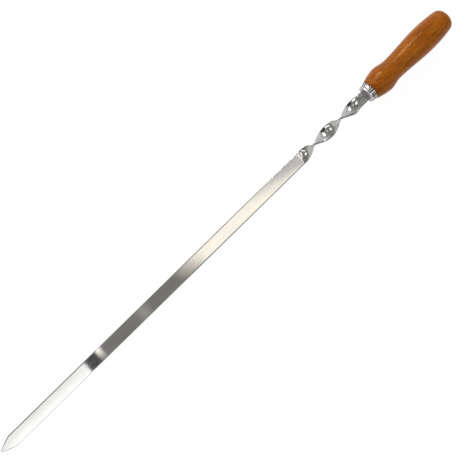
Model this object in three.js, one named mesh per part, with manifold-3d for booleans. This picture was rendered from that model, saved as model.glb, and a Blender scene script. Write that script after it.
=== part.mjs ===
// Kebab skewer: a flat pointed steel strip with a twisted neck, in a turned wooden handle with a pressed metal cup.
// Millimetres. +X runs from the point to the handle, +Z is square to the strip's broad face, +Y lies across it.
// The origin is on the skewer's axis, halfway between the point and the butt.

import * as THREE from 'three';
import { mergeVertices } from 'three/addons/utils/BufferGeometryUtils.js';
import Module from 'manifold-3d';

// Clearance between touching pieces
const fitGap = 0.3;

// Strip: working length, point and twisted neck
const workingLength = 473;
const stripWidth = 15;
const stripThickness = 2;
const stripCornerRadius = 0.6;
const pointLength = 18;
const pointBulge = 0.5;
const noseLength = 0.5;
const noseHalfWidth = 0.9;
const noseFlatHalfWidth = 0.3;
const twistPitch = 83.2;
const neckTurnAngle = THREE.MathUtils.degToRad(393);
const creaseHalfLength = 3;
const creaseSlantShare = 0.29;
const creaseLag = 2.3;
const catchUpLength = 20;
const stubLength = 10;

// Tang: the strip's narrowed end inside the handle
const tangWidth = 8;
const tangLength = 70;
const tangTaperLength = 8;
const tangEndWidth = 4;

// Ferrule: pressed cup with a slotted end wall
const ferruleLength = 7.5;
const ferruleFrontDiameter = 20.9;
const ferruleRearDiameter = 23;
const ferruleWall = 0.8;
const ferruleEdgeRadius = 0.8;
const slotEndClearance = 0.9;
const stakeCount = 6;
const stakeDiameter = 5.4;
const stakeDepth = 0.45;
const stakePhase = THREE.MathUtils.degToRad(33);

// Handle: turned wood, sizes measured from its front shoulder
const handleLength = 118.6;
const handleFrontDiameter = 23.7;
const handleFrontEdgeRadius = 0.6;
const bulgeDistance = 17.5;
const bulgeDiameter = 31.5;
const bulgeFullness = 1.5;
const waistDistance = 33.9;
const waistDiameter = 26.6;
const bellyDistance = 82;
const bellyDiameter = 31.6;
const bellyArcRadius = 193;
const buttRoundingLength = 9;
const buttFullness = 2.9;
const tenonSetback = 1.5;
const boreDiameter = 11;
const boreDepth = 76;
const drillPointAngle = THREE.MathUtils.degToRad(118);

// How finely curves are cut
const roundSegments = 32;
const cornerSteps = 2;
const pointSteps = 7;
const noseSteps = 2;
const creaseSteps = 6;
const ringsPerTurn = 54;
const edgeSteps = 3;
const bulgeSteps = 6;
const waistSteps = 7;
const bellySteps = 9;
const buttSteps = 6;
const roundingSteps = 7;
const stakeSphereSegments = 24;
const stakeSphereRings = 16;
const cutOverrun = 1;

// Places along the skewer, from the point
const twistLength = twistPitch * neckTurnAngle / (2 * Math.PI);
const twistEnd = workingLength + twistLength;
const ferruleFront = twistEnd + stubLength;
const handleFront = ferruleFront + ferruleLength;
const overallLength = handleFront + handleLength;
const tenonFront = ferruleFront + ferruleWall + tenonSetback;
const shoulderPlace = tenonFront - fitGap;
const tangEnd = tenonFront + tangLength;

const wasm = await Module();
wasm.setup();

// A closed mesh with shared vertices merged and collapsed triangles left out
function closedMesh(geometry) {
  const bare = geometry.clone();
  bare.deleteAttribute('normal');
  bare.deleteAttribute('uv');
  const merged = mergeVertices(bare);
  const index = merged.getIndex().array;
  const kept = [];
  for (let i = 0; i < index.length; i += 3) {
    const [a, b, c] = [index[i], index[i + 1], index[i + 2]];
    if (a !== b && b !== c && c !== a) kept.push(a, b, c);
  }
  merged.setIndex(kept);
  merged.computeVertexNormals();
  return merged;
}

function toSolid(geometry) {
  const mesh = closedMesh(geometry);
  return new wasm.Manifold(new wasm.Mesh({
    numProp: 3,
    vertProperties: new Float32Array(mesh.getAttribute('position').array),
    triVerts: new Uint32Array(mesh.getIndex().array),
  }));
}

function fromSolid(solid) {
  const mesh = solid.getMesh();
  const geometry = new THREE.BufferGeometry();
  geometry.setAttribute('position', new THREE.BufferAttribute(mesh.vertProperties, 3));
  geometry.setIndex(new THREE.BufferAttribute(mesh.triVerts, 1));
  geometry.computeVertexNormals();
  return geometry;
}

// A body turned about the X axis from [place, radius] pairs. Its flats lie at the true radius, and four of them face
// along Y and Z, so that a turned piece lies as steadily on a table as the round one.
function turned(profile) {
  const halfStep = Math.PI / roundSegments;
  const points = profile.map(([place, radius]) => new THREE.Vector2(radius / Math.cos(halfStep), place));
  const geometry = new THREE.LatheGeometry(points, roundSegments, halfStep);
  geometry.rotateZ(-Math.PI / 2);
  return geometry;
}

// The strip's section as [across, through] pairs: a rectangle with rounded corners
function stripSection(width, thickness) {
  const radius = Math.min(stripCornerRadius, width / 2, thickness / 2);
  const across = width / 2 - radius;
  const through = thickness / 2 - radius;
  const section = [];
  const corners = [[across, through, 0], [-across, through, 1], [-across, -through, 2], [across, -through, 3]];
  for (const [centreAcross, centreThrough, quarter] of corners) {
    for (let step = 0; step <= cornerSteps; step++) {
      const angle = (quarter + step / cornerSteps) * Math.PI / 2;
      section.push([centreAcross + radius * Math.cos(angle), centreThrough + radius * Math.sin(angle)]);
    }
    if (quarter === 0) section.push([0, thickness / 2]);
    if (quarter === 2) section.push([0, -thickness / 2]);
  }
  return section;
}

// How far the twist has run at a depth into the neck: it starts late, along a slanting crease, and catches up
function easedRun(depth, slant) {
  const late = slant + creaseLag;
  const held = Math.min(depth, twistLength / 2);
  const share = THREE.MathUtils.clamp((held - late + creaseHalfLength) / (2 * creaseHalfLength), 0, 1);
  const eased = share * share * creaseHalfLength + Math.max(held - late - creaseHalfLength, 0);
  return eased + late * Math.min(eased / (catchUpLength - late), 1);
}

function twistAngle(place, across) {
  const slant = creaseSlantShare * across;
  const run = easedRun(place - workingLength, slant);
  const runBack = easedRun(twistEnd - place, -slant);
  return neckTurnAngle * (run + twistLength / 2 - runBack) / twistLength;
}

// One ring of the strip round its section, turned as the neck is there
function stripRing(place, width, thickness) {
  return stripSection(width, thickness).map(([across, through]) => {
    const angle = twistAngle(place, across);
    const y = across * Math.cos(angle) - through * Math.sin(angle);
    const z = across * Math.sin(angle) + through * Math.cos(angle);
    return new THREE.Vector3(place, y, z);
  });
}

// A closed body through rings of equal count, with flat ends
function loft(rings) {
  const count = rings[0].length;
  const positions = rings.flat().flatMap((point) => point.toArray());
  const index = [];
  for (let ring = 0; ring < rings.length - 1; ring++) {
    for (let i = 0; i < count; i++) {
      const next = (i + 1) % count;
      const [a, b] = [ring * count + i, ring * count + next];
      const [c, d] = [a + count, b + count];
      index.push(a, b, d, a, d, c);
    }
  }
  const last = (rings.length - 1) * count;
  for (let i = 1; i < count - 1; i++) {
    index.push(0, i + 1, i);
    index.push(last, last + i, last + i + 1);
  }
  const geometry = new THREE.BufferGeometry();
  geometry.setAttribute('position', new THREE.Float32BufferAttribute(positions, 3));
  geometry.setIndex(index);
  return closedMesh(geometry);
}

// The point: a small blunt nose, then two gently bulging flanks that run out into the full width
function pointStations() {
  const stations = [];
  for (let step = 0; step < noseSteps; step++) {
    const share = step / noseSteps;
    const rise = Math.sqrt(1 - (1 - share) ** 2);
    const half = THREE.MathUtils.lerp(noseFlatHalfWidth, noseHalfWidth, rise);
    stations.push([noseLength * share, 2 * half]);
  }
  for (let step = 0; step <= pointSteps; step++) {
    const share = step / pointSteps;
    const half = THREE.MathUtils.lerp(noseHalfWidth, stripWidth / 2, share) + 4 * pointBulge * share * (1 - share);
    stations.push([THREE.MathUtils.lerp(noseLength, pointLength, share), 2 * half]);
  }
  return stations;
}

// Rings lie close together over the two creases and evenly between them
function neckPlaces() {
  const places = [];
  const slant = creaseSlantShare * stripWidth / 2;
  const creaseStart = creaseLag - creaseHalfLength - slant;
  const creaseEnd = creaseLag + creaseHalfLength + slant;
  const closeSteps = Math.ceil((creaseEnd - creaseStart) * creaseSteps / (2 * creaseHalfLength));
  const evenLength = twistLength - 2 * creaseEnd;
  const evenSteps = Math.max(1, Math.round(ringsPerTurn * evenLength / twistPitch));
  for (let step = 0; step < closeSteps; step++) {
    places.push(workingLength + THREE.MathUtils.lerp(creaseStart, creaseEnd, step / closeSteps));
  }
  for (let step = 0; step <= evenSteps; step++) {
    places.push(workingLength + creaseEnd + evenLength * step / evenSteps);
  }
  for (let step = 1; step <= closeSteps; step++) {
    places.push(twistEnd - THREE.MathUtils.lerp(creaseEnd, creaseStart, step / closeSteps));
  }
  return places;
}

// [place, width] pairs of the narrowed end
function tangStations() {
  return [[shoulderPlace, tangWidth], [tangEnd - tangTaperLength, tangWidth], [tangEnd, tangEndWidth]];
}

function bladeGeometry() {
  const stations = [
    ...pointStations(),
    ...neckPlaces().map((place) => [place, stripWidth]),
    [shoulderPlace, stripWidth],
    ...tangStations(),
  ];
  return loft(stations.map(([place, width]) => stripRing(place, width, stripThickness)));
}

// The cup's wall widens evenly from its end wall to its open end
function ferruleRadius(depth) {
  return THREE.MathUtils.lerp(ferruleFrontDiameter, ferruleRearDiameter, depth / ferruleLength) / 2;
}

// The slot is turned with the neck, so that the strip passes through it
function ferruleGeometry() {
  const openEnd = ferruleLength - fitGap;
  const profile = [[0, 0], [0, ferruleRadius(ferruleEdgeRadius) - ferruleEdgeRadius]];
  for (let step = 1; step <= edgeSteps; step++) {
    const angle = Math.PI / 2 * step / edgeSteps;
    profile.push([
      ferruleEdgeRadius * (1 - Math.cos(angle)),
      ferruleRadius(ferruleEdgeRadius) - ferruleEdgeRadius * (1 - Math.sin(angle)),
    ]);
  }
  profile.push([openEnd, ferruleRadius(openEnd)]);
  profile.push([openEnd, ferruleRadius(openEnd) - ferruleWall]);
  profile.push([ferruleWall, ferruleRadius(ferruleWall) - ferruleWall], [ferruleWall, 0]);
  let cup = toSolid(turned(profile));

  const slot = new THREE.BoxGeometry(
    ferruleWall + 2 * cutOverrun,
    stripWidth + 2 * slotEndClearance,
    stripThickness + 2 * fitGap,
  );
  slot.translate(ferruleWall / 2, 0, 0);
  slot.rotateX(neckTurnAngle);
  cup = cup.subtract(toSolid(slot));

  const stakeRadius = ((stakeDiameter / 2) ** 2 + stakeDepth ** 2) / (2 * stakeDepth);
  const stakePlace = (ferruleEdgeRadius + openEnd) / 2;
  const stakeOffset = ferruleRadius(stakePlace) - stakeDepth + stakeRadius;
  for (let i = 0; i < stakeCount; i++) {
    const stake = new THREE.SphereGeometry(stakeRadius, stakeSphereSegments, stakeSphereRings);
    stake.translate(stakePlace, 0, stakeOffset);
    stake.rotateX(stakePhase + 2 * Math.PI * i / stakeCount);
    cup = cup.subtract(toSolid(stake));
  }
  return fromSolid(cup);
}

// The handle's radius at a distance behind its front shoulder
function handleRadius(distance) {
  if (distance < bulgeDistance) {
    const rise = 1 - (1 - distance / bulgeDistance) ** bulgeFullness;
    return THREE.MathUtils.lerp(handleFrontDiameter, bulgeDiameter, rise) / 2;
  }
  if (distance < waistDistance) {
    const fall = (1 - Math.cos(Math.PI * (distance - bulgeDistance) / (waistDistance - bulgeDistance))) / 2;
    return THREE.MathUtils.lerp(bulgeDiameter, waistDiameter, fall) / 2;
  }
  if (distance < bellyDistance) {
    const rise = (1 - Math.cos(Math.PI * (distance - waistDistance) / (bellyDistance - waistDistance))) / 2;
    return THREE.MathUtils.lerp(waistDiameter, bellyDiameter, rise) / 2;
  }
  const belly = bellyDiameter / 2 - (distance - bellyDistance) ** 2 / (2 * bellyArcRadius);
  const share = THREE.MathUtils.clamp((distance - handleLength) / buttRoundingLength + 1, 0, 1);
  return belly * (1 - share ** buttFullness) ** (1 / buttFullness);
}

function handleGeometry() {
  const tenonPlace = tenonFront - handleFront;
  const bore = boreDiameter / 2;
  const drillPointLength = bore / Math.tan(drillPointAngle / 2);
  const tenonRadius = (place) => ferruleRadius(place + ferruleLength) - ferruleWall - fitGap;
  const profile = [
    [tenonPlace + boreDepth + drillPointLength, 0],
    [tenonPlace + boreDepth, bore],
    [tenonPlace, bore],
    [tenonPlace, tenonRadius(tenonPlace)],
    [0, tenonRadius(0)],
  ];
  for (let step = 0; step <= edgeSteps; step++) {
    const angle = Math.PI / 2 * step / edgeSteps;
    profile.push([
      handleFrontEdgeRadius * (1 - Math.cos(angle)),
      handleRadius(handleFrontEdgeRadius) - handleFrontEdgeRadius * (1 - Math.sin(angle)),
    ]);
  }
  const stretches = [
    [handleFrontEdgeRadius, bulgeDistance, bulgeSteps],
    [bulgeDistance, waistDistance, waistSteps],
    [waistDistance, bellyDistance, bellySteps],
    [bellyDistance, handleLength - buttRoundingLength, buttSteps],
  ];
  for (const [from, to, steps] of stretches) {
    for (let step = 1; step <= steps; step++) {
      const distance = THREE.MathUtils.lerp(from, to, step / steps);
      profile.push([distance, handleRadius(distance)]);
    }
  }
  for (let step = 1; step < roundingSteps; step++) {
    const distance = handleLength - buttRoundingLength * (1 - Math.sin(Math.PI / 2 * step / roundingSteps));
    profile.push([distance, handleRadius(distance)]);
  }
  profile.push([handleLength, 0]);
  return closedMesh(turned(profile));
}

// Fills the bore round the tang
function adhesiveGeometry() {
  const radius = boreDiameter / 2 - fitGap;
  const [from, to] = [tenonFront + fitGap, tenonFront + boreDepth - fitGap];
  const plug = toSolid(turned([[from, 0], [from, radius], [to, radius], [to, 0]]));
  const tang = tangStations().map(([place, width]) => [place, width + 2 * fitGap]);
  tang[tang.length - 1][0] += fitGap;
  const hole = loft(tang.map(([place, width]) => stripRing(place, width, stripThickness + 2 * fitGap)));
  return fromSolid(plug.subtract(toSolid(hole)));
}

const steel = new THREE.MeshStandardMaterial({ color: 0xb4b2ac, roughness: 0.3, metalness: 1 });
const platedSteel = new THREE.MeshStandardMaterial({ color: 0xb9b7b4, roughness: 0.15, metalness: 1 });
const lacqueredWood = new THREE.MeshStandardMaterial({ color: 0xa5591e, roughness: 0.35, metalness: 0 });
const resin = new THREE.MeshStandardMaterial({ color: 0xcbb98f, roughness: 0.5, metalness: 0 });

function piece(name, geometry, material) {
  const mesh = new THREE.Mesh(geometry, material);
  mesh.name = name;
  return mesh;
}

const skewer = new THREE.Group();
skewer.position.x = -overallLength / 2;

const blade = piece('blade', bladeGeometry(), steel);
const ferrule = piece('ferrule', ferruleGeometry(), platedSteel);
ferrule.position.x = ferruleFront;
const handle = piece('handle', handleGeometry(), lacqueredWood);
handle.position.x = handleFront;
const tangAdhesive = piece('tang_adhesive', adhesiveGeometry(), resin);
skewer.add(blade, ferrule, handle, tangAdhesive);

const group = new THREE.Group();
group.add(skewer);

export default group;
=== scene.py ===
# Kebab skewer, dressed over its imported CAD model: a flat pointed steel strip with a twisted neck, a pressed
# ferrule and a turned, lacquered wooden handle. All lengths are in metres. +X runs from the point to the
# handle, +Z is square to the strip's broad face.

import math

import bmesh
import bpy
from mathutils import Matrix, Vector


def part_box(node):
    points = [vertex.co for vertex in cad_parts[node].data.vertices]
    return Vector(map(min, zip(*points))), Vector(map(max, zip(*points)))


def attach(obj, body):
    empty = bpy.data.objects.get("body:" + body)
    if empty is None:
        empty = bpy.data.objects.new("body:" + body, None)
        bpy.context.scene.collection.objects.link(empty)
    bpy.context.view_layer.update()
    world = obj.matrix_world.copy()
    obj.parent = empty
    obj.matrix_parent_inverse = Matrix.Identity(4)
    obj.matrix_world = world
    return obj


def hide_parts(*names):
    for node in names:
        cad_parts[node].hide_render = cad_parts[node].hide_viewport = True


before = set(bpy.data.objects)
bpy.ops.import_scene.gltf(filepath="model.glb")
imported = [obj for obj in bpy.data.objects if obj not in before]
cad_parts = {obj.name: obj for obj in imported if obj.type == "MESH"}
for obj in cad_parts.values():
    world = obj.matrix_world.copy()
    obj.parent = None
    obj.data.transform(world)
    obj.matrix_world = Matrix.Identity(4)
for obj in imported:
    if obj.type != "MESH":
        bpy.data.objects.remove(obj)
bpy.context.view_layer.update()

MM = 0.001

# Keeps a divisor above zero
TINY = 1e-6 * MM

# Edges bent by more than these degrees stay sharp
SHARP_STRIP_EDGE = 40
SHARP_EDGE = 35

# Strip, measured from its point
STRIP_WIDTH = 15 * MM
STRIP_THICKNESS = 2 * MM
STRIP_CORNER = 0.6 * MM
POINT_LENGTH = 18 * MM
POINT_BULGE = 0.5 * MM
NOSE_LENGTH = 0.5 * MM
NOSE_HALF_WIDTH = 0.9 * MM
NOSE_FLAT = 0.3 * MM
WORKING_LENGTH = 473 * MM

# Twisted neck: its twist starts late, at a slanting crease, catches up with an even one, and ends likewise
TWIST_PITCH = 83.2 * MM
NECK_TURN = math.radians(393)
TWIST_LENGTH = TWIST_PITCH * NECK_TURN / (2 * math.pi)
CREASE_HALF = 3 * MM
CREASE_SLANT = 0.29
CREASE_LAG = 2.3 * MM
CATCH_UP = 20 * MM

# Tang, held inside the handle
SHOULDER_LENGTH = 0.4 * MM
TANG_WIDTH = 8 * MM
TANG_TAPER = 8 * MM
TANG_END_WIDTH = 4 * MM

# The strip's waviness, how far round the neck's start it grows, and how far before the tang it fades
WAVINESS = 0.05 * MM
NECK_WAVINESS = 0.2 * MM
NECK_WAVES_BEFORE = 3 * MM
NECK_WAVES_BEHIND = 12 * MM
WAVES_FADE_FROM = 12 * MM
WAVES_FADE_TO = 4 * MM

# Steps across each rounded corner, and how far the finer steps reach round the neck and the tang's shoulder
CORNER_STEPS = 3
NECK_LEAD = 9 * MM
SHOULDER_REACH = 1 * MM

# Ferrule. It stops a little short of the handle's shoulder.
FERRULE_LENGTH = 7.5 * MM
FERRULE_FRONT = 20.9 * MM
FERRULE_REAR = 23 * MM
FERRULE_WALL = 0.8 * MM
FERRULE_EDGE = 0.8 * MM
FERRULE_LIP = 0.2 * MM
FERRULE_SEAT = 0.08 * MM
FERRULE_SEGMENTS = 288
SLOT_END_GAP = 0.9 * MM
SLOT_SIDE_GAP = 0.3 * MM
SLOT_LENGTH = STRIP_WIDTH + 2 * SLOT_END_GAP
SLOT_WIDTH = STRIP_THICKNESS + 2 * SLOT_SIDE_GAP

# Stake marks. Their rims are softened by a share, and the cup's front face stays flat within its rim.
STAKE_COUNT = 6
STAKE_HALF_LENGTH = 3.4 * MM
STAKE_HALF_WIDTH = 3.1 * MM
STAKE_DEPTH = 0.7 * MM
STAKE_INSET = 2.6 * MM
STAKE_PHASE = math.radians(33)
STAKE_SOFT_SHARE = 0.35
FACE_RIM = 0.2 * MM

# Handle, measured from its front shoulder
HANDLE_FRONT = 23.7 * MM
HANDLE_FRONT_EDGE = 0.6 * MM
BULGE_PLACE = 17.5 * MM
BULGE = 31.5 * MM
BULGE_FULLNESS = 1.5
WAIST_PLACE = 33.9 * MM
WAIST = 26.6 * MM
BELLY_PLACE = 82 * MM
BELLY = 31.6 * MM
BELLY_ARC = 193 * MM
BUTT_ROUNDING = 9 * MM
BUTT_FULLNESS = 2.9
TENON_GAP = 0.3 * MM
BORE = 11 * MM
BORE_DEPTH = 76 * MM
DRILL_POINT = math.radians(118)
HANDLE_SEGMENTS = 160

# Places along X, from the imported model
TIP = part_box("blade")[0].x
TANG_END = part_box("blade")[1].x
FERRULE_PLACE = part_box("ferrule")[0].x
TENON_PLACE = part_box("handle")[0].x
HANDLE_PLACE = FERRULE_PLACE + FERRULE_LENGTH
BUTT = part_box("handle")[1].x
HANDLE_LENGTH = BUTT - HANDLE_PLACE

# Camera: its place, its roll in degrees and the skewer's direction in the picture
EYE = Vector((7.9, 1.1, 714.4)) * MM
CAMERA_ROLL = 0.21
PICTURE_DIRECTION = Vector((0.71204, 0.70214, 0))

# Room: the ceiling's height, the panels' usual half width, the half width over which their ends slant, and
# the way to a dark doorway
CEILING = 1.6
PANEL_REACH = 0.35
PANEL_SLANT_HALF = 0.05
DOORWAY = (-0.63, 0.42, 0.65)


# Node trees


def join(tree, value, socket):
    """Links a value from the tree into a socket, or sets it there."""
    if isinstance(value, Term):
        value = value.socket
    if isinstance(value, bpy.types.NodeSocket):
        tree.links.new(value, socket)
    else:
        socket.default_value = value


def add(tree, kind, inputs=None, **settings):
    """Adds a node with its settings and inputs."""
    node = tree.nodes.new(kind)
    for name, value in settings.items():
        setattr(node, name, value)
    for name, value in (inputs or {}).items():
        join(tree, value, node.inputs[name])
    return node


def formula(tree, operation, *values):
    """The result of one math node, as a term."""
    node = tree.nodes.new("ShaderNodeMath")
    node.operation = operation
    for value, socket in zip(values, node.inputs):
        join(tree, value, socket)
    return Term(tree, node.outputs[0])


class Term:
    """A value in a node tree, for writing formulas as sums and products."""

    def __init__(self, tree, socket):
        self.tree = tree
        self.socket = socket

    def __add__(self, other):
        return formula(self.tree, "ADD", self, other)

    def __radd__(self, other):
        return formula(self.tree, "ADD", other, self)

    def __sub__(self, other):
        return formula(self.tree, "SUBTRACT", self, other)

    def __rsub__(self, other):
        return formula(self.tree, "SUBTRACT", other, self)

    def __mul__(self, other):
        return formula(self.tree, "MULTIPLY", self, other)

    def __rmul__(self, other):
        return formula(self.tree, "MULTIPLY", other, self)

    def __truediv__(self, other):
        return formula(self.tree, "DIVIDE", self, other)

    def __rtruediv__(self, other):
        return formula(self.tree, "DIVIDE", other, self)

    def least(self, other):
        return formula(self.tree, "MINIMUM", self, other)

    def most(self, other):
        return formula(self.tree, "MAXIMUM", self, other)

    def share(self, start, end):
        """How far this value is from start to end, held between 0 and 1."""
        return ((self - start) / (end - start)).most(0).least(1)

    def size(self):
        return formula(self.tree, "ABSOLUTE", self)

    def sign(self):
        return formula(self.tree, "SIGN", self)

    def root(self):
        return formula(self.tree, "SQRT", self)

    def tangent(self):
        return formula(self.tree, "TANGENT", self)


def parts(tree, vector):
    """A vector's three parts, as terms."""
    node = add(tree, "ShaderNodeSeparateXYZ", {0: vector})
    return [Term(tree, socket) for socket in node.outputs]


def shape_tree(name, sizes):
    """A geometry tree with named inputs. Returns the tree, the inputs as terms, and their identifiers."""
    tree = bpy.data.node_groups.new(name, "GeometryNodeTree")
    tree.interface.new_socket("Geometry", in_out="OUTPUT", socket_type="NodeSocketGeometry")
    kinds = {int: "NodeSocketInt", float: "NodeSocketFloat", bpy.types.Material: "NodeSocketMaterial"}
    identifiers = {}
    for label, value in sizes.items():
        if value is None:
            kind = "NodeSocketGeometry"
        else:
            kind = kinds[type(value)]
        socket = tree.interface.new_socket(label, in_out="INPUT", socket_type=kind)
        identifiers[label] = socket.identifier
    source = tree.nodes.new("NodeGroupInput")
    terms = {label: Term(tree, source.outputs[label]) for label in sizes}
    return tree, terms, identifiers


def store(tree, shape, name, value, data_type, domain="POINT"):
    """Stores a value on a shape as a named attribute."""
    node = add(
        tree,
        "GeometryNodeStoreNamedAttribute",
        {"Geometry": shape, "Name": name, "Value": value},
        data_type=data_type,
        domain=domain,
    )
    return node.outputs["Geometry"]


def finish_tree(tree, shape, material):
    """Ends a geometry tree in Realize Instances and Set Material."""
    real = add(tree, "GeometryNodeRealizeInstances", {"Geometry": shape})
    painted = add(tree, "GeometryNodeSetMaterial", {"Geometry": real.outputs[0], "Material": material})
    end = tree.nodes.new("NodeGroupOutput")
    tree.links.new(painted.outputs[0], end.inputs[0])


def run_tree(piece, tree, sizes, identifiers):
    """Runs a geometry tree on a piece and keeps the result as its plain mesh."""
    modifier = piece.modifiers.new(tree.name, "NODES")
    modifier.node_group = tree
    for label, value in sizes.items():
        if value is not None:
            modifier[identifiers[label]] = value
    keep_shape(piece)


def keep_shape(piece):
    """Replaces a piece's modifiers by the plain mesh that they give."""
    graph = bpy.context.evaluated_depsgraph_get()
    mesh = bpy.data.meshes.new_from_object(piece.evaluated_get(graph))
    piece.modifiers.clear()
    piece.data = mesh
    mesh.name = piece.name


def new_piece(name, mesh=None):
    """An object at the origin that holds the mesh."""
    piece = bpy.data.objects.new(name, mesh or bpy.data.meshes.new(name))
    bpy.context.scene.collection.objects.link(piece)
    return piece


def smooth(piece, angle):
    """Smooth shading, with edges sharper than the angle kept sharp."""
    piece.data.shade_smooth()
    piece.data.set_sharp_from_angle(angle=math.radians(angle))


# Materials


def new_material(name, **finish):
    """A material with one Principled shader. Returns the material, its tree and the shader."""
    material = bpy.data.materials.new(name)
    material.use_nodes = True
    tree = material.node_tree
    shader = tree.nodes["Principled BSDF"]
    for label, value in finish.items():
        shader.inputs[label.replace("_", " ").title()].default_value = value
    return material, tree, shader


def ramp(tree, value, stops):
    """A colour ramp from pairs of a place and a colour."""
    node = tree.nodes.new("ShaderNodeValToRGB")
    join(tree, value, node.inputs["Fac"])
    elements = node.color_ramp.elements
    while len(elements) < len(stops):
        elements.new(0.5)
    for element, (place, colour) in zip(elements, stops):
        element.position = place
        element.color = (*colour, 1)
    return node.outputs["Color"]


def blend(tree, share, first, second):
    """A mix of two colours, with the given share of the second one."""
    return add(tree, "ShaderNodeMix", {"Factor": share, 6: first, 7: second}, data_type="RGBA").outputs[2]


def noise(tree, vector, scale, detail=2.0, roughness=0.5):
    """Cloudy noise round 0.5."""
    settings = {"Vector": vector, "Scale": scale, "Detail": detail, "Roughness": roughness}
    return Term(tree, add(tree, "ShaderNodeTexNoise", settings).outputs["Fac"])


def stretched(tree, vector, scale, place=(0, 0, 0)):
    """The vector scaled by a different amount along each axis, then moved by the place."""
    node = add(tree, "ShaderNodeVectorMath", {0: vector, 1: scale, 2: place}, operation="MULTIPLY_ADD")
    return node.outputs["Vector"]


def bump(tree, shader, height, distance):
    """Raises and sinks the surface by a share of the distance."""
    node = add(tree, "ShaderNodeBump", {"Height": height, "Distance": distance, "Strength": 1.0})
    tree.links.new(node.outputs["Normal"], shader.inputs["Normal"])


def grey(value):
    """A colour without a tint."""
    return (value, value, value)


def strip_steel():
    """Stainless strip, ground and polished lengthwise: faint long scratches, cloudy handling marks, and
    darker edges that carry painted shade.
    """
    dull, plain, bright = (0.38, 0.378, 0.374), (0.5, 0.497, 0.491), (0.6, 0.596, 0.59)
    # The edges' darker colour is partly their duller sheared finish and partly painted shade for the dark
    # line along the strip's narrow side.
    sheared_edge_and_shade = (0.26, 0.258, 0.254, 1)
    neck_fade = 6 * MM
    scratch_depth = 0.0012 * MM
    material, tree, shader = new_material("strip steel", metallic=1.0, anisotropic=0.7)
    shader.inputs["Anisotropic Rotation"].default_value = 0.25
    strip = add(tree, "ShaderNodeAttribute", attribute_name="strip").outputs["Vector"]
    tangent = add(tree, "ShaderNodeTangent", direction_type="UV_MAP", uv_map="UVMap")
    tree.links.new(tangent.outputs["Tangent"], shader.inputs["Tangent"])
    rim = Term(tree, add(tree, "ShaderNodeAttribute", attribute_name="edge").outputs["Fac"])
    edge = rim.share(0.2, 0.7)
    clouds = noise(tree, stretched(tree, strip, (40, 120, 120)), 1.0, 3.0)
    lines = noise(tree, stretched(tree, strip, (25, 2600, 2600)), 1.0, 3.0, 0.6)
    worked = parts(tree, strip)[0].share(WORKING_LENGTH, WORKING_LENGTH + neck_fade)
    spots = noise(tree, stretched(tree, strip, (260, 420, 420)), 1.0, 2.0) - 0.5
    tone = clouds * 0.6 + lines * 0.4 + worked * spots * 2.4
    colour = ramp(tree, tone, [(0.1, dull), (0.5, plain), (0.9, bright)])
    # Darkens the rounded edges: the sheared finish plus painted shade.
    tree.links.new(blend(tree, edge, colour, sheared_edge_and_shade), shader.inputs["Base Color"])
    join(tree, clouds * 0.02 + lines * 0.02 + edge * 0.25 + 0.025, shader.inputs["Roughness"])
    bump(tree, shader, lines, scratch_depth)
    return material


def ferrule_metal():
    """Polished sheet steel with faint turning lines round it, and a paler, brushed front."""
    dark, bright = (0.2, 0.195, 0.188), (0.42, 0.412, 0.402)
    brushed = (0.62, 0.6, 0.61, 1)
    brushed_to, polished_from = 1.6 * MM, 2.4 * MM
    line_depth = 0.001 * MM
    material, tree, shader = new_material("ferrule metal", metallic=1.0)
    place = add(tree, "ShaderNodeTexCoord").outputs["Object"]
    lines = noise(tree, stretched(tree, place, (4200, 60, 60)), 1.0, 2.0)
    marks = noise(tree, place, 420.0, 3.0)
    colour = ramp(tree, marks, [(0.35, dark), (0.62, bright)])
    front = 1 - (parts(tree, place)[0] - FERRULE_PLACE).share(brushed_to, polished_from)
    tree.links.new(blend(tree, front * 0.85, colour, brushed), shader.inputs["Base Color"])
    join(tree, marks * 0.05 + 0.09 + front * 0.3, shader.inputs["Roughness"])
    bump(tree, shader, lines, line_depth)
    return material


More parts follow.
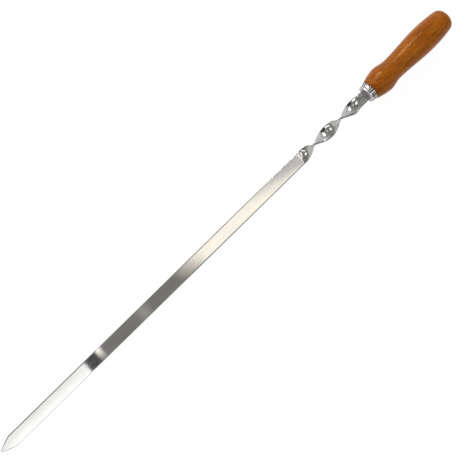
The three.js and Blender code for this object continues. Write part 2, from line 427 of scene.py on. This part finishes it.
def lacquered_wood():
    """Orange-brown stained hardwood under clear lacquer: lengthwise grain, small flecks, uneven stain,
    painted shade at the ferrule joint and a darker band behind it.
    """
    dark, brown, orange, light = (
        (0.205, 0.044, 0.003),
        (0.295, 0.077, 0.0045),
        (0.35, 0.101, 0.006),
        (0.445, 0.144, 0.01),
    )
    pore = (0.1, 0.02, 0.001, 1)
    heart = (0, 0.021, 0.034)
    bend = (0.012, 0.012, 0.012)
    # Painted shade over the first 3 mm behind the ferrule joint, and a fainter darkening over the first 16
    # mm.
    painted_joint_shade = 0.5 * MM, 3 * MM
    darker_front = 2 * MM, 16 * MM
    unevenness = 0.09 * MM
    material, tree, shader = new_material("lacquered wood", roughness=0.25)
    shader.inputs["Specular IOR Level"].default_value = 0.26
    shader.inputs["Specular Tint"].default_value = (1.0, 0.62, 0.36, 1)
    place = add(tree, "ShaderNodeTexCoord").outputs["Object"]
    slow = {"Vector": stretched(tree, place, (9, 45, 45)), "Scale": 1.0, "Detail": 2.0}
    warp = add(tree, "ShaderNodeTexNoise", slow).outputs["Color"]
    trunk = stretched(tree, place, (0.035, 1, 1), heart)
    rings = add(
        tree,
        "ShaderNodeTexWave",
        {
            "Vector": stretched(tree, warp, bend, trunk),
            "Scale": 105.0,
            "Distortion": 1.6,
            "Detail": 2.0,
            "Detail Scale": 1.4,
        },
        wave_type="RINGS",
        rings_direction="X",
        wave_profile="SAW",
    )
    streaks = noise(tree, stretched(tree, place, (50, 340, 340)), 1.0, 4.0, 0.66)
    flecks = noise(tree, stretched(tree, place, (250, 380, 380)), 1.0, 3.0, 0.6)
    patches = noise(tree, stretched(tree, place, (40, 70, 70)), 1.0, 2.0)
    depth = parts(tree, place)[0] - HANDLE_PLACE
    # Painted joint shade plus the fainter darkening towards the front.
    joint_shade_and_darker_front = (1 - depth.share(*painted_joint_shade)) * 0.07 + (1 - depth.share(*darker_front)) * 0.025
    tone = Term(tree, rings.outputs["Fac"]) * 0.08 + streaks * 0.36 + flecks * 0.36 + patches * 0.2 - joint_shade_and_darker_front
    colour = ramp(tree, tone, [(0.35, dark), (0.46, brown), (0.54, orange), (0.65, light)])
    pits = noise(tree, stretched(tree, place, (140, 1500, 1500)), 1.0, 2.0).share(0.6, 0.68)
    tree.links.new(blend(tree, pits * 0.4, colour, pore), shader.inputs["Base Color"])
    skin = noise(tree, stretched(tree, place, (190, 300, 300)), 1.0, 3.0, 0.6)
    bump(tree, shader, skin - pits * 0.1, unevenness)
    return material


def resin():
    """Cured amber adhesive, slightly cloudy."""
    deep, pale = (0.5, 0.38, 0.2), (0.62, 0.5, 0.29)
    unevenness = 0.05 * MM
    material, tree, shader = new_material("resin", roughness=0.45)
    place = add(tree, "ShaderNodeTexCoord").outputs["Object"]
    clouds = noise(tree, place, 300.0, 3.0)
    tree.links.new(ramp(tree, clouds, [(0.3, deep), (0.7, pale)]), shader.inputs["Base Color"])
    bump(tree, shader, clouds, unevenness)
    return material


# Blade


def edge_spaced(coordinate, half, corner, steps):
    """Moves a coordinate from -1 to 1 to -half to half, with some steps kept for each rounded corner."""
    flat = (steps - 2 * CORNER_STEPS) / steps
    in_flat = (coordinate.size() / flat).least(1) * (half - corner)
    in_corner = (coordinate.size().share(flat, 1) * (math.pi / 4)).tangent() * corner
    return (in_flat + in_corner) * coordinate.sign()


def blade_sizes(material):
    """The inputs of the strip's tree."""
    return {
        "Steps across": 24,
        "Steps through": 8,
        "Point steps": 90,
        "Flat steps": 250,
        "Neck steps": 560,
        "Shoulder steps": 12,
        "Tang steps": 60,
        "Width": STRIP_WIDTH,
        "Thickness": STRIP_THICKNESS,
        "Corner radius": STRIP_CORNER,
        "Point length": POINT_LENGTH,
        "Point bulge": POINT_BULGE,
        "Nose length": NOSE_LENGTH,
        "Nose half width": NOSE_HALF_WIDTH,
        "Nose flat half width": NOSE_FLAT,
        "Working length": WORKING_LENGTH,
        "Twist length": TWIST_LENGTH,
        "Turn": NECK_TURN,
        "Crease half length": CREASE_HALF,
        "Crease slant": CREASE_SLANT,
        "Crease lag": CREASE_LAG,
        "Catch-up length": CATCH_UP,
        "Shoulder place": TENON_PLACE - TENON_GAP - TIP,
        "Tang width": TANG_WIDTH,
        "Tang taper length": TANG_TAPER,
        "Tang end width": TANG_END_WIDTH,
        "Length": TANG_END - TIP,
        "Tip place": TIP,
        "Waviness": WAVINESS,
        "Neck waviness": NECK_WAVINESS,
        "Material": material,
    }


def half_width(place, size):
    """Half the strip's width at a place: blunt nose, bulging flanks, full width, then the tang."""
    nose = place.share(0, size["Nose length"])
    rise = (1 - (1 - nose) * (1 - nose)).root()
    nose_flat = size["Nose flat half width"]
    nose_half = nose_flat + (size["Nose half width"] - nose_flat) * rise
    flank = place.share(size["Nose length"], size["Point length"])
    flank_rise = (size["Width"] / 2 - size["Nose half width"]) * flank
    full = nose_half + flank_rise + 4 * size["Point bulge"] * flank * (1 - flank)
    shoulder = place.share(size["Shoulder place"], size["Shoulder place"] + SHOULDER_LENGTH)
    taper = place.share(size["Length"] - size["Tang taper length"], size["Length"])
    narrowed = (size["Width"] - size["Tang width"]) / 2 * shoulder
    tapered = (size["Tang width"] - size["Tang end width"]) / 2 * taper
    return full - narrowed - tapered


def eased_run(depth, slant, size):
    """How far the twist has run at a depth into the neck: late at the slanting crease, then caught up."""
    late = slant + size["Crease lag"]
    crease = size["Crease half length"]
    held = depth.least(size["Twist length"] / 2)
    share = held.share(late - crease, late + crease)
    eased = share * share * crease + (held - late - crease).most(0)
    return eased + late * (eased / (size["Catch-up length"] - late)).least(1)


def blade():
    """The whole strip: a fine block whose points move by rule to the pointed, twisted and narrowed shape."""
    sizes = blade_sizes(strip_steel())
    tree, size, identifiers = shape_tree("Strip", sizes)
    step_names = ["Point steps", "Flat steps", "Neck steps", "Shoulder steps", "Tang steps"]
    all_steps = size[step_names[0]]
    for name in step_names[1:]:
        all_steps = all_steps + size[name]
    block = add(
        tree,
        "GeometryNodeMeshCube",
        {
            "Vertices X": all_steps + 1,
            "Vertices Y": size["Steps across"] + 1,
            "Vertices Z": size["Steps through"] + 1,
        },
    )
    x, y, z = parts(tree, add(tree, "GeometryNodeInputPosition").outputs[0])

    neck_start = size["Working length"] - NECK_LEAD
    neck_end = size["Shoulder place"] - SHOULDER_REACH
    tang_start = size["Shoulder place"] + SHOULDER_REACH
    stretch_ends = [size["Point length"], neck_start, neck_end, tang_start, size["Length"]]
    step = (x + 0.5) * all_steps
    place = 0
    steps_before = 0
    end_before = 0
    for name, end in zip(step_names, stretch_ends):
        place = place + step.share(steps_before, steps_before + size[name]) * (end - end_before)
        steps_before = steps_before + size[name]
        end_before = end

    half = half_width(place, size)
    half_thickness = size["Thickness"] / 2
    corner = size["Corner radius"].least(half)
    across = edge_spaced(y * 2, half, corner, size["Steps across"])
    through = edge_spaced(z * 2, half_thickness, corner, size["Steps through"])
    rim = (across.size() - half + corner).most(0) / corner
    inner_across = across.most(corner - half).least(half - corner)
    inner_through = through.most(corner - half_thickness).least(half_thickness - corner)
    over_across = across - inner_across
    over_through = through - inner_through
    reach = (over_across * over_across + over_through * over_through).root().most(TINY)
    square_reach = over_across.size().most(over_through.size())
    across = inner_across + over_across * square_reach / reach
    through = inner_through + over_through * square_reach / reach

    flat = add(tree, "ShaderNodeCombineXYZ", {"X": place, "Y": across, "Z": through}).outputs[0]
    shape = store(tree, block.outputs["Mesh"], "strip", flat, "FLOAT_VECTOR")
    shape = store(tree, shape, "edge", rim, "FLOAT")
    shape = store(tree, shape, "UVMap", flat, "FLOAT2", "CORNER")

    sheet = add(tree, "ShaderNodeCombineXYZ", {"X": place, "Y": across}).outputs[0]
    slow = noise(tree, stretched(tree, sheet, (16, 34, 1)), 1.0, 1.0) - 0.5
    quick = noise(tree, stretched(tree, sheet, (120, 150, 1), (3, 5, 0)), 1.0, 3.0, 0.45) - 0.5
    waves_start = size["Working length"] - NECK_WAVES_BEFORE
    in_neck = place.share(waves_start, size["Working length"] + NECK_WAVES_BEHIND)
    waves_fade = size["Shoulder place"] - WAVES_FADE_FROM
    out_of_neck = place.share(waves_fade, size["Shoulder place"] - WAVES_FADE_TO)
    through = through + size["Waviness"] * 2 * slow * (1 - out_of_neck)
    through = through + size["Neck waviness"] * 2 * quick * in_neck * (1 - out_of_neck)

    slant = size["Crease slant"] * across
    depth = place - size["Working length"]
    run = eased_run(depth, slant, size)
    run_back = eased_run(size["Twist length"] - depth, 0 - slant, size)
    angle = size["Turn"] * (run + size["Twist length"] / 2 - run_back) / size["Twist length"]
    straight = add(tree, "ShaderNodeCombineXYZ", {"X": place + size["Tip place"], "Y": across, "Z": through})
    turned = add(
        tree,
        "ShaderNodeVectorRotate",
        {"Vector": straight.outputs[0], "Angle": angle},
        rotation_type="X_AXIS",
    )
    moved = add(tree, "GeometryNodeSetPosition", {"Geometry": shape, "Position": turned.outputs[0]})
    finish_tree(tree, moved.outputs[0], size["Material"])

    piece = new_piece("blade_strip")
    run_tree(piece, tree, sizes, identifiers)
    smooth(piece, SHARP_STRIP_EDGE)
    return piece


# Turned pieces


def lathe(name, profile, segments):
    """A closed body turned about the X axis. Its profile of place and radius starts and ends on the axis."""
    bm = bmesh.new()
    rings = []
    for place, radius in profile:
        if radius == 0:
            rings.append([bm.verts.new((place, 0, 0))])
            continue
        ring = []
        for i in range(segments):
            angle = 2 * math.pi * i / segments
            ring.append(bm.verts.new((place, radius * math.cos(angle), radius * math.sin(angle))))
        rings.append(ring)
    for near, far in zip(rings, rings[1:]):
        for i in range(segments):
            after = (i + 1) % segments
            if len(near) == 1:
                bm.faces.new((near[0], far[i], far[after]))
            elif len(far) == 1:
                bm.faces.new((near[i], far[0], near[after]))
            else:
                bm.faces.new((near[i], far[i], far[after], near[after]))
    bmesh.ops.recalc_face_normals(bm, faces=bm.faces)
    mesh = bpy.data.meshes.new(name)
    bm.to_mesh(mesh)
    bm.free()
    return new_piece(name, mesh)


def spread(start, end, steps):
    """Even values after start, up to and with end."""
    return [start + (end - start) * (i + 1) / steps for i in range(steps)]


def rounded(radius, size, steps):
    """A quarter round from a front face at 0, square to the axis, to a wall of the given radius."""
    points = []
    for i in range(steps + 1):
        angle = math.pi / 2 * i / steps
        points.append((size * (1 - math.cos(angle)), radius - size * (1 - math.sin(angle))))
    return points


def ferrule_radius(depth):
    """The cup's outer radius at a depth behind its front face."""
    return (FERRULE_FRONT + (FERRULE_REAR - FERRULE_FRONT) * depth / FERRULE_LENGTH) / 2


def staked(piece, material):
    """Presses a ring of oval stake marks into the ferrule's wall. The phase is measured from +Z."""
    sizes = {
        "Cup": None,
        "Stakes": STAKE_COUNT,
        "Stake half length": STAKE_HALF_LENGTH,
        "Stake half width": STAKE_HALF_WIDTH,
        "Stake depth": STAKE_DEPTH,
        "Stake place": FERRULE_PLACE + FERRULE_LENGTH - STAKE_INSET,
        "Phase": STAKE_PHASE,
        "Material": material,
    }
    tree, size, identifiers = shape_tree("Stake marks", sizes)
    x, y, z = parts(tree, add(tree, "GeometryNodeInputPosition").outputs[0])
    radius = (y * y + z * z).root()
    pitch = 2 * math.pi / size["Stakes"]
    angle = formula(tree, "ARCTAN2", z, y) - size["Phase"] - math.pi / 2
    away = formula(tree, "PINGPONG", angle, pitch / 2)
    along = (x - size["Stake place"]) / size["Stake half length"]
    around = away * radius / size["Stake half width"]
    distance = (along * along + around * around).root()
    bowl = (1 - distance * distance).most(0)
    soft_bowl = bowl * bowl * (3 - bowl * 2) * STAKE_SOFT_SHARE + bowl * (1 - STAKE_SOFT_SHARE)
    wall = radius.share(FERRULE_FRONT / 2 - 2 * FACE_RIM, FERRULE_FRONT / 2 - FACE_RIM)
    scale = 1 - size["Stake depth"] * soft_bowl * wall / radius.most(MM)
    moved = add(tree, "ShaderNodeCombineXYZ", {"X": x, "Y": y * scale, "Z": z * scale})
    shape = add(tree, "GeometryNodeSetPosition", {"Geometry": size["Cup"], "Position": moved.outputs[0]})
    finish_tree(tree, shape.outputs[0], size["Material"])
    run_tree(piece, tree, sizes, identifiers)


def ferrule():
    """The pressed cup: rounded front edge, tapering wall, slot for the strip and stake marks."""
    end = FERRULE_LENGTH - FERRULE_SEAT
    lip_start = end - FERRULE_LIP
    edge_radius = ferrule_radius(FERRULE_EDGE)
    profile = [(0, 0)]
    profile += [(0, radius) for radius in spread(0, edge_radius - FERRULE_EDGE, steps=12)[:-1]]
    profile += rounded(edge_radius, FERRULE_EDGE, steps=10)
    profile += [(depth, ferrule_radius(depth)) for depth in spread(FERRULE_EDGE, lip_start, steps=30)]
    for angle in spread(0, math.pi, steps=8):
        inward = FERRULE_LIP * (1 - math.cos(angle))
        profile.append((lip_start + FERRULE_LIP * math.sin(angle), ferrule_radius(end) - inward))
    for depth in spread(lip_start, FERRULE_WALL, steps=6):
        profile.append((depth, ferrule_radius(depth) - FERRULE_WALL))
    profile.append((FERRULE_WALL, 0))
    profile = [(FERRULE_PLACE + place, radius) for place, radius in profile]
    piece = lathe("ferrule_cup", profile, FERRULE_SEGMENTS)
    staked(piece, ferrule_metal())

    cut_depth = FERRULE_WALL * 3
    cutter_mesh = bpy.data.meshes.new("slot cutter")
    bm = bmesh.new()
    bmesh.ops.create_cube(bm, size=1)
    bm.transform(
        Matrix.Translation((FERRULE_PLACE + FERRULE_WALL / 2, 0, 0))
        @ Matrix.Rotation(NECK_TURN, 4, "X")
        @ Matrix.Diagonal((cut_depth, SLOT_LENGTH, SLOT_WIDTH, 1))
    )
    bm.to_mesh(cutter_mesh)
    bm.free()
    cutter = new_piece("slot_cutter", cutter_mesh)
    cut = piece.modifiers.new("Slot", "BOOLEAN")
    cut.object = cutter
    cut.solver = "EXACT"
    keep_shape(piece)
    bpy.data.objects.remove(cutter)
    smooth(piece, SHARP_EDGE)
    return piece


def handle_radius(distance):
    """The handle's radius at a distance behind its front shoulder."""
    if distance < BULGE_PLACE:
        rise = 1 - (1 - distance / BULGE_PLACE) ** BULGE_FULLNESS
        return (HANDLE_FRONT + (BULGE - HANDLE_FRONT) * rise) / 2
    if distance < WAIST_PLACE:
        fall = (1 - math.cos(math.pi * (distance - BULGE_PLACE) / (WAIST_PLACE - BULGE_PLACE))) / 2
        return (BULGE + (WAIST - BULGE) * fall) / 2
    if distance < BELLY_PLACE:
        rise = (1 - math.cos(math.pi * (distance - WAIST_PLACE) / (BELLY_PLACE - WAIST_PLACE))) / 2
        return (WAIST + (BELLY - WAIST) * rise) / 2
    belly = BELLY / 2 - (distance - BELLY_PLACE) ** 2 / (2 * BELLY_ARC)
    share = min(1, max(0, (distance - HANDLE_LENGTH) / BUTT_ROUNDING + 1))
    return belly * (1 - share**BUTT_FULLNESS) ** (1 / BUTT_FULLNESS)


def handle():
    """The turned handle with its tenon and bore."""
    tenon_end = TENON_PLACE - HANDLE_PLACE
    bore_end = tenon_end + BORE_DEPTH
    bore = BORE / 2
    drill_point = bore / math.tan(DRILL_POINT / 2)
    front = handle_radius(HANDLE_FRONT_EDGE)
    profile = [(bore_end + drill_point, 0), (bore_end, bore)]
    profile += [(place, bore) for place in spread(bore_end, tenon_end, steps=20)]
    for place in [tenon_end] + spread(tenon_end, 0, steps=4):
        profile.append((place, ferrule_radius(place + FERRULE_LENGTH) - FERRULE_WALL - TENON_GAP))
    profile += rounded(front, HANDLE_FRONT_EDGE, steps=8)
    body_end = HANDLE_LENGTH - BUTT_ROUNDING
    profile += [(place, handle_radius(place)) for place in spread(HANDLE_FRONT_EDGE, body_end, steps=190)]
    for angle in spread(0, math.pi / 2, steps=40)[:-1]:
        place = HANDLE_LENGTH - BUTT_ROUNDING * (1 - math.sin(angle))
        profile.append((place, handle_radius(place)))
    profile.append((HANDLE_LENGTH, 0))
    profile = [(HANDLE_PLACE + place, radius) for place, radius in profile]
    piece = lathe("handle_turned", profile, HANDLE_SEGMENTS)
    piece.data.materials.append(lacquered_wood())
    smooth(piece, SHARP_EDGE)
    return piece


# Studio


def floor_paint():
    """White floor: as bright as the background wherever it is looked at, but it keeps a soft shadow."""
    material = bpy.data.materials.new("white floor")
    material.use_nodes = True
    tree = material.node_tree
    tree.nodes.clear()
    share_seen, share_mirrored, brightness = 0.86, 0.5, 1.085
    path = add(tree, "ShaderNodeLightPath").outputs
    mirrored = Term(tree, path["Is Glossy Ray"]).most(Term(tree, path["Is Transmission Ray"]))
    seen = (Term(tree, path["Is Camera Ray"]) * share_seen).most(mirrored * share_mirrored)
    matt = add(tree, "ShaderNodeBsdfDiffuse", {"Color": (0.9, 0.9, 0.9, 1)})
    white = add(tree, "ShaderNodeEmission", {"Color": (1, 1, 1, 1), "Strength": brightness})
    mixed = add(tree, "ShaderNodeMixShader", {0: seen, 1: matt.outputs[0], 2: white.outputs[0]})
    end = tree.nodes.new("ShaderNodeOutputMaterial")
    tree.links.new(mixed.outputs[0], end.inputs["Surface"])
    return material


def floor():
    """A plain floor that the skewer lies on: its handle's bulge and its point both touch it."""
    reach = 6.0
    bulge = Vector((HANDLE_PLACE + BULGE_PLACE, 0, -BULGE / 2))
    point = Vector((TIP, 0, -STRIP_THICKNESS / 2))
    slope = (bulge.z - point.z) / (bulge.x - point.x)
    clearance = 0.1 * MM
    mesh = bpy.data.meshes.new("floor")
    corners = []
    for x, y in ((-reach, -reach), (reach, -reach), (reach, reach), (-reach, reach)):
        corners.append((x, y, point.z + slope * (x - point.x) - clearance))
    mesh.from_pydata(corners, [], [(0, 1, 2, 3)])
    mesh.materials.append(floor_paint())
    piece = new_piece("floor", mesh)


def lamp(name, place, target, size, radiance, colour=(1, 1, 1)):
    """A rectangular soft light that faces the target."""
    data = bpy.data.lights.new(name, "AREA")
    data.shape = "RECTANGLE"
    data.size, data.size_y = size
    data.energy = radiance * math.pi * size[0] * size[1]
    data.color = colour
    light = bpy.data.objects.new(name, data)
    bpy.context.scene.collection.objects.link(light)
    place, target = Vector(place), Vector(target)
    facing = (target - place).to_track_quat("-Z", "Y").to_matrix().to_4x4()
    light.matrix_world = Matrix.Translation(place) @ facing
    light.visible_camera = False
    return light


def room():
    """A plain room, white round the horizon and higher up on the +Y side, dim above, with a dark doorway."""
    world = bpy.data.worlds.new("room")
    bpy.context.scene.world = world
    world.use_nodes = True
    tree = world.node_tree
    tree.nodes.clear()
    horizon, low_wall, high_wall, ceiling = grey(1.0), grey(0.66), grey(0.47), (0.35, 0.344, 0.325)
    tilt = 0.8
    doorway_frame, doorway_inside = 0.885, 0.94
    direction = add(tree, "ShaderNodeTexCoord").outputs["Generated"]
    _, y, z = parts(tree, direction)
    height = z * (1 - y * tilt)
    tone = ramp(tree, height, [(0.0, horizon), (0.2, low_wall), (0.55, high_wall), (0.78, ceiling)])
    toward = add(tree, "ShaderNodeVectorMath", {0: direction, 1: DOORWAY}, operation="DOT_PRODUCT")
    doorway = Term(tree, toward.outputs["Value"]).share(doorway_frame, doorway_inside)
    light = add(tree, "ShaderNodeBackground", {"Color": tone, "Strength": 1 - doorway * 0.85})
    end = tree.nodes.new("ShaderNodeOutputWorld")
    tree.links.new(light.outputs[0], end.inputs["Surface"])


def mirrored_place(x):
    """The place on the ceiling that the flat strip shows to the camera at x."""
    return x + (x - EYE.x) * CEILING / EYE.z


def overhead(
    name,
    span,
    radiance,
    colour=(1, 1, 1),
    rise=0,
    sides=(-PANEL_REACH, PANEL_REACH),
    slants=(0, 0),
    fades=(0, 0),
    side_fade=0,
):
    """A ceiling panel that the flat strip mirrors over a span of it.

    Its two ends may slant and fade. A positive side fade is on the +Y side, a negative one on the -Y side.
    """
    start, end = (mirrored_place(x) for x in span)
    reach = [fade / 2 + abs(slant) * PANEL_SLANT_HALF for slant, fade in zip(slants, fades)]
    width = end + reach[1] - start + reach[0]
    depth = sides[1] - sides[0]
    middle = Vector((start - reach[0] + width / 2, sum(sides) / 2, CEILING + rise))
    light = lamp(name, middle, middle - Vector((0, 0, 1)), (width, depth), radiance, colour)
    light.data.use_nodes = True
    tree = light.data.node_tree
    x, y, _ = parts(tree, add(tree, "ShaderNodeNewGeometry").outputs["Parametric"])
    along = (x - 0.5) * width + middle.x
    side = (y - 0.5) * depth + middle.y
    held = side.most(-PANEL_SLANT_HALF).least(PANEL_SLANT_HALF)
    strength = 1
    if fades[0]:
        strength = strength * (along - start - held * slants[0]).share(-fades[0] / 2, fades[0] / 2)
    if fades[1]:
        strength = strength * (end + held * slants[1] - along).share(-fades[1] / 2, fades[1] / 2)
    if side_fade:
        edge = sides[1] - side if side_fade > 0 else side - sides[0]
        strength = strength * edge.share(0, abs(side_fade))
    join(tree, strength, tree.nodes["Emission"].inputs["Strength"])


def ceiling_panels():
    """The panels that the flat strip mirrors as bright bands along it."""
    seam, seam_slant, seam_fade = 0.0835, -3.7, 0.14
    overhead(
        "warm panel",
        span=(-0.0503, seam),
        radiance=1.6,
        colour=(1.0, 0.945, 0.825),
        sides=(-0.065, 0.065),
        slants=(-0.45, seam_slant),
        fades=(0.135, seam_fade),
    )
    overhead(
        "dim panel",
        span=(seam, 0.136),
        radiance=0.55,
        colour=(1.0, 0.99, 0.97),
        rise=0.01,
        sides=(-0.3, 0.3),
        slants=(seam_slant, 0),
        fades=(seam_fade, 0.02),
    )
    overhead(
        "crease panel",
        span=(0.1239, 0.129),
        radiance=0.9,
        colour=(1.0, 0.98, 0.93),
        rise=0.02,
        sides=(-0.2, 0.12),
        fades=(0.012, 0.01),
    )
    overhead(
        "end panel",
        span=(-0.36, -0.2125),
        radiance=1.85,
        sides=(-1.6, 0.11),
        side_fade=0.135,
    )
    overhead(
        "slim panel",
        span=(-0.1963, -0.1895),
        radiance=1.8,
        colour=(1.0, 0.98, 0.91),
        sides=(-0.022, 0.35),
        side_fade=-0.038,
    )
    overhead(
        "faint panel",
        span=(-0.132, -0.118),
        radiance=0.2,
        colour=(1.0, 0.97, 0.8),
        fades=(0.03, 0.03),
    )


def lamps():
    """A key light for the handle, one for the neck, and two panels that fill the lower side."""
    lamp("key light", place=(0.45, 1.2, 1.0), target=(0.27, 0, 0), size=(0.42, 0.42), radiance=19.0)
    lamp("neck light", place=(-0.04, 1.11, 1.13), target=(0.16, 0, 0), size=(0.3, 0.3), radiance=6.0)
    lamp("fill panel", place=(0.36, -0.98, 1.32), target=(0.28, 0, 0), size=(0.66, 0.66), radiance=1.6)
    lamp("side panel", place=(-0.05, -1.6, 0.44), target=(-0.05, 0, 0), size=(1.4, 0.25), radiance=0.55)


def panel_frame():
    """A grey card between the slim panel and the end panel. The strip mirrors it as a dark band."""
    height = CEILING - 10 * MM
    corners = []
    for x in (mirrored_place(-0.2121), mirrored_place(-0.1967)):
        corners += [(x, -PANEL_REACH, height), (x, PANEL_REACH, height)]
    mesh = bpy.data.meshes.new("panel frame")
    mesh.from_pydata(corners, [], [(0, 1, 3, 2)])
    material, _, _ = new_material("grey card", base_color=(0.165, 0.165, 0.17, 1), roughness=0.6)
    mesh.materials.append(material)
    new_piece("panel_frame", mesh)


def camera():
    """Straight above the skewer, turned so that it lies from lower left to upper right."""
    along = PICTURE_DIRECTION.normalized()
    right = Vector((along.x, -along.y, 0))
    up = Vector((along.y, along.x, 0))
    data = bpy.data.cameras.new("camera")
    data.lens = 50
    data.sensor_width = 36
    data.clip_start = 0.01
    data.clip_end = 50
    eye = bpy.data.objects.new("camera", data)
    bpy.context.scene.collection.objects.link(eye)
    facing = Matrix((right, up, Vector((0, 0, 1)))).transposed().to_4x4()
    roll = Matrix.Rotation(math.radians(CAMERA_ROLL), 4, "Z")
    eye.matrix_world = Matrix.Translation(EYE) @ facing @ roll
    bpy.context.scene.camera = eye


BLADE, FERRULE, HANDLE = blade(), ferrule(), handle()
for piece, node, finish in (
    (BLADE, "blade", "strip_steel"),
    (FERRULE, "ferrule", "ferrule_metal"),
    (HANDLE, "handle", "handle_wood"),
):
    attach(piece, "root")
    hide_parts(node)

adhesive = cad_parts["tang_adhesive"]
adhesive.data.materials.clear()
adhesive.data.materials.append(resin())

floor()
room()
ceiling_panels()
lamps()
panel_frame()
camera()

bpy.context.scene.view_settings.view_transform = "Standard"
